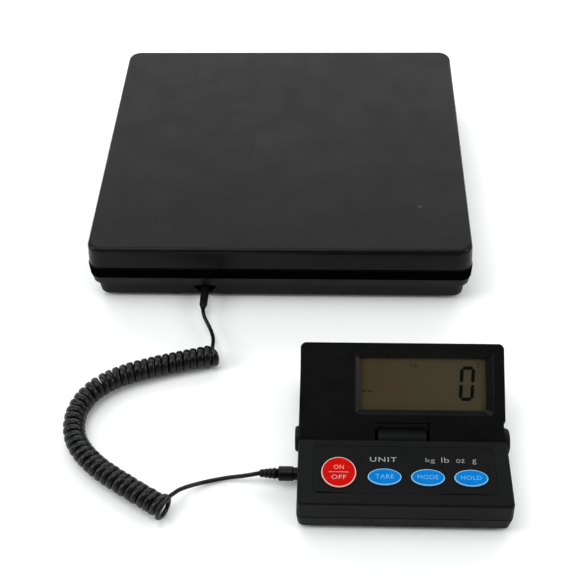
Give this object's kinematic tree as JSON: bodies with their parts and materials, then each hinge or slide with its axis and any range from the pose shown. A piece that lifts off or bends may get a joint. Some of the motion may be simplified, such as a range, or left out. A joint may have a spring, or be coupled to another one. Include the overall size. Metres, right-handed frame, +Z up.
{
  "type": "platform shipping scale",
  "caption": "Low platform scale with a flat tray, joined by a curly cord to a small display unit with keys and a tilting screen.",
  "frame": {"origin": "on the surface that the object stands on, under the middle of the box round the platform and the display unit without the cord", "axes": "+X to the right and +Y away from the user who faces the keys, +Z up"},
  "size_m": [0.2389, 0.3504, 0.0499],
  "materials": {
    "tray_plastic": "satin, very fine grain",
    "base_plastic": "satin",
    "pan_plastic": "satin",
    "frame_steel": "zinc plated",
    "screw_steel": "zinc plated",
    "cell_aluminium": "machined",
    "gauge_silicone": "soft white sealant",
    "foot_rubber": "matt",
    "boot_rubber": "matt",
    "cord_jacket": "satin",
    "plug_plastic": "satin",
    "plug_metal": "bright",
    "clamp_plastic": "natural nylon",
    "unit_plastic": "satin",
    "head_plastic": "satin",
    "pin_plastic": "satin",
    "label_film": "fine matt film",
    "button_red": "semi gloss",
    "button_blue": "semi gloss",
    "dome_silicone": "soft",
    "mat_silicone": "soft",
    "board_green": "solder mask",
    "component_black": "moulded",
    "jack_plastic": "moulded",
    "flex_film": "amber film",
    "cell_wrap": "printed wrap",
    "contact_metal": "nickel",
    "door_plastic": "satin",
    "window_acrylic": "clear",
    "lcd_glass": "grey green",
    "reflector_film": "soft silver",
    "strip_rubber": "soft"
  },
  "bodies": {
    "base": {"load_cell": "cell_aluminium", "gauge_covers": "gauge_silicone", "load_cell_lower_spacer": "frame_steel", "load_cell_lower_bolts": "screw_steel", "base_plate": "frame_steel", "base_rim": "base_plastic", "base_pan": "pan_plastic", "base_screws": "screw_steel", "overload_stops": "screw_steel", "platform_feet": "foot_rubber", "strain_relief_boot": "boot_rubber", "cord_lead_base": "cord_jacket", "cord_coil": "cord_jacket", "cord_lead_display": "cord_jacket", "plug_strain_relief": "plug_plastic", "plug_body": "plug_plastic", "plug_pin": "plug_metal", "inner_lead": "cord_jacket", "cable_clamp": "clamp_plastic", "cable_clamp_screws": "screw_steel"},
    "tray": {"weighing_tray": "tray_plastic", "tray_support_frame": "frame_steel", "tray_screws": "screw_steel", "load_cell_upper_spacer": "frame_steel", "load_cell_upper_bolts": "screw_steel"},
    "display_unit": {"unit_bottom_shell": "unit_plastic", "unit_top_shell": "unit_plastic", "hinge_pins": "pin_plastic", "keypad_label": "label_film", "key_mat": "mat_silicone", "main_board": "board_green", "board_components": "component_black", "sounder": "component_black", "cord_jack": "jack_plastic", "flex_strip": "flex_film", "battery_cells": "cell_wrap", "battery_contacts": "contact_metal", "unit_feet": "foot_rubber", "unit_screws": "screw_steel", "power_dome": "dome_silicone", "tare_dome": "dome_silicone", "mode_dome": "dome_silicone", "hold_dome": "dome_silicone"},
    "battery_cover": {"battery_door": "door_plastic"},
    "power_key": {"power_button": "button_red"},
    "tare_key": {"tare_button": "button_blue"},
    "mode_key": {"mode_button": "button_blue"},
    "hold_key": {"hold_button": "button_blue"},
    "display_head": {"head_front_bezel": "head_plastic", "head_back_cover": "head_plastic", "head_screws": "screw_steel", "lcd_window": "window_acrylic", "lcd_glass": "lcd_glass", "lcd_reflector": "reflector_film", "contact_strips": "strip_rubber", "head_board": "board_green"}
  },
  "joints": [
    {"name": "tray_load", "type": "slide", "parent": "base", "child": "tray", "axis": [0, 0, 1], "range_m": [-0.0009, 0], "stiffness_N_per_m": 500000, "deforming": ["load_cell"]},
    {"name": "unit_unplug", "type": "slide", "parent": "base", "child": "display_unit", "axis": [1, 0, 0], "range_m": [0, 0.05]},
    {"name": "battery_door_slide", "type": "slide", "parent": "display_unit", "child": "battery_cover", "axis": [0, 1, 0], "range_m": [0, 0.028]},
    {"name": "head_tilt", "type": "hinge", "parent": "display_unit", "child": "display_head", "pos_m": [0.0625, -0.1315, 0.017], "axis": [1, 0, 0], "range_deg": [-32.5, 22]},
    {"name": "power_press", "type": "slide", "parent": "display_unit", "child": "power_key", "axis": [0, 0, -1], "range_m": [0, 0.0008], "stiffness_N_per_m": 2000, "deforming": ["power_dome"]},
    {"name": "tare_press", "type": "slide", "parent": "display_unit", "child": "tare_key", "axis": [0, 0, -1], "range_m": [0, 0.0008], "stiffness_N_per_m": 2000, "deforming": ["tare_dome"]},
    {"name": "mode_press", "type": "slide", "parent": "display_unit", "child": "mode_key", "axis": [0, 0, -1], "range_m": [0, 0.0008], "stiffness_N_per_m": 2000, "deforming": ["mode_dome"]},
    {"name": "hold_press", "type": "slide", "parent": "display_unit", "child": "hold_key", "axis": [0, 0, -1], "range_m": [0, 0.0008], "stiffness_N_per_m": 2000, "deforming": ["hold_dome"]}
  ]
}
